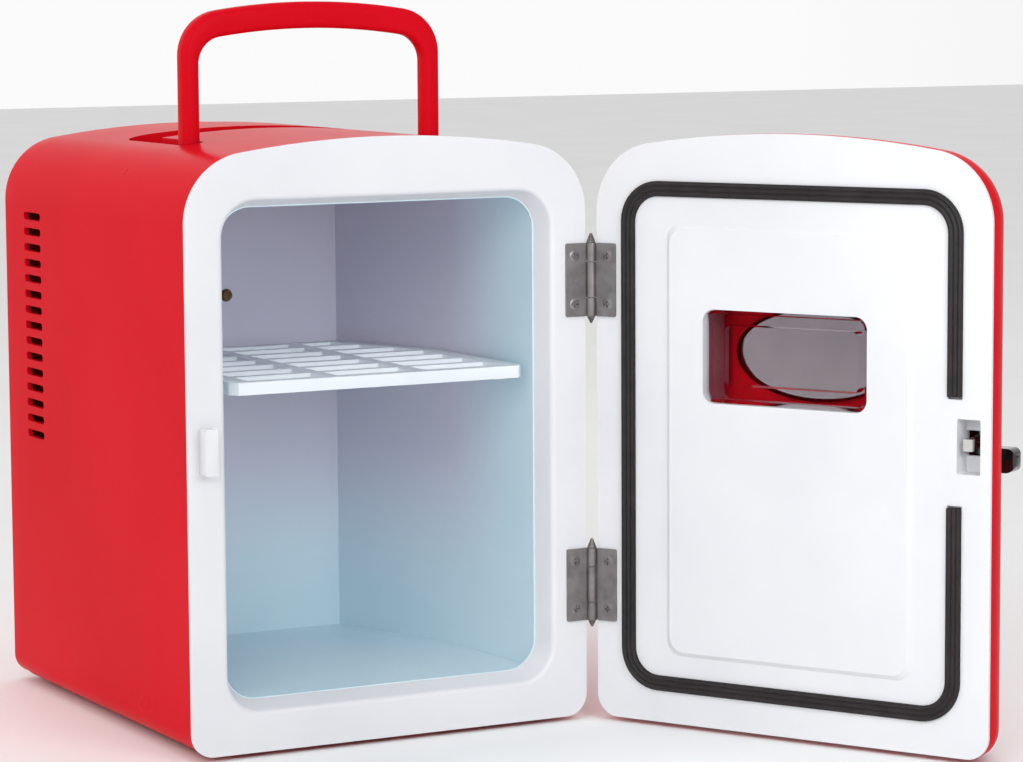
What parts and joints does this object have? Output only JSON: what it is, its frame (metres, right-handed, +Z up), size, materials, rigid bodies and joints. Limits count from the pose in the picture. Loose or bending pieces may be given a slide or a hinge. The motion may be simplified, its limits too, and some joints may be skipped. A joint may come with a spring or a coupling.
{
  "type": "mini fridge",
  "caption": "Small table-top thermoelectric fridge with crowned case, domed hinged door with oval window, slotted shelf and folding carry handle.",
  "frame": {"origin": "on the ground under the middle of the cabinet", "axes": "+X to the viewer's right, +Y to the back, +Z up; the door opening faces -Y"},
  "size_m": [0.3178, 0.3857, 0.318],
  "materials": {
    "red_plastic": "gloss",
    "white_plastic": "satin gloss",
    "liner_aluminium": "satin sheet",
    "plain_aluminium": "extruded",
    "ceramic_white": "matte",
    "foam": "foamed",
    "gasket_rubber": "matte",
    "foot_rubber": "matte",
    "clear_plastic": "clear",
    "tinted_lens": "tinted",
    "black_plastic": "gloss",
    "board_green": "solder mask",
    "led_plastic": "clear",
    "brown_screw": "plated",
    "steel": "plated"
  },
  "bodies": {
    "cabinet": {"ac_inlet": "black_plastic", "board_screws": "steel", "cabinet_insulation": "foam", "cold_block": "plain_aluminium", "dc_inlet": "black_plastic", "fan_frame": "black_plastic", "fan_screws": "steel", "front_bezel": "white_plastic", "handle_pins": "steel", "hinge_lower_cabinet_leaf": "steel", "hinge_lower_pin": "steel", "hinge_screws_cabinet": "steel", "hinge_upper_cabinet_leaf": "steel", "hinge_upper_pin": "steel", "hot_heatsink": "plain_aluminium", "indicator_leds": "led_plastic", "inner_liner": "liner_aluminium", "latch_striker": "white_plastic", "liner_screws": "brown_screw", "mode_switch_frame": "black_plastic", "outer_shell": "red_plastic", "peltier_module": "ceramic_white", "power_board": "board_green", "rear_cover": "red_plastic", "rear_cover_screws": "steel", "rubber_feet": "foot_rubber", "shelf_rails": "white_plastic"},
    "door": {"door_outer_shell": "red_plastic", "door_inner_panel": "white_plastic", "door_gasket": "gasket_rubber", "door_insulation": "foam", "window_inner_tray": "clear_plastic", "window_oval_lens": "tinted_lens", "latch_pin": "steel", "latch_spring": "steel", "hinge_upper_door_leaf": "steel", "hinge_lower_door_leaf": "steel", "hinge_screws_door": "steel"},
    "latch": {"latch_lever": "black_plastic", "latch_tongue": "steel"},
    "handle": {"carry_handle": "red_plastic"},
    "shelf": {"shelf": "white_plastic"},
    "fan": {"fan_rotor": "black_plastic"},
    "rocker": {"mode_switch_rocker": "black_plastic"}
  },
  "joints": [
    {"name": "door_hinge", "type": "hinge", "parent": "cabinet", "child": "door", "pos_m": [0.0972, -0.10975, 0.13], "axis": [0, 0, 1], "range_deg": [-119.03, 60.97]},
    {"name": "latch_pivot", "type": "hinge", "parent": "door", "child": "latch", "pos_m": [0.2006, -0.25845, 0.1342], "axis": [0, 0, -1], "range_deg": [0, 9.5], "stiffness_Nm_per_rad": 0.05},
    {"name": "handle_pivot", "type": "hinge", "parent": "cabinet", "child": "handle", "pos_m": [0, -0.0295, 0.2502], "axis": [-1, 0, 0], "range_deg": [0, 88]},
    {"name": "shelf_slide", "type": "slide", "parent": "cabinet", "child": "shelf", "axis": [0, -1, 0], "range_m": [0, 0.14]},
    {"name": "fan_spin", "type": "hinge", "parent": "cabinet", "child": "fan", "pos_m": [0, 0.088, 0.1622], "axis": [0, 1, 0], "continuous": true},
    {"name": "rocker_tip", "type": "hinge", "parent": "cabinet", "child": "rocker", "pos_m": [-0.042, 0.103, 0.0482], "axis": [1, 0, 0], "range_deg": [-8, 8]}
  ]
}
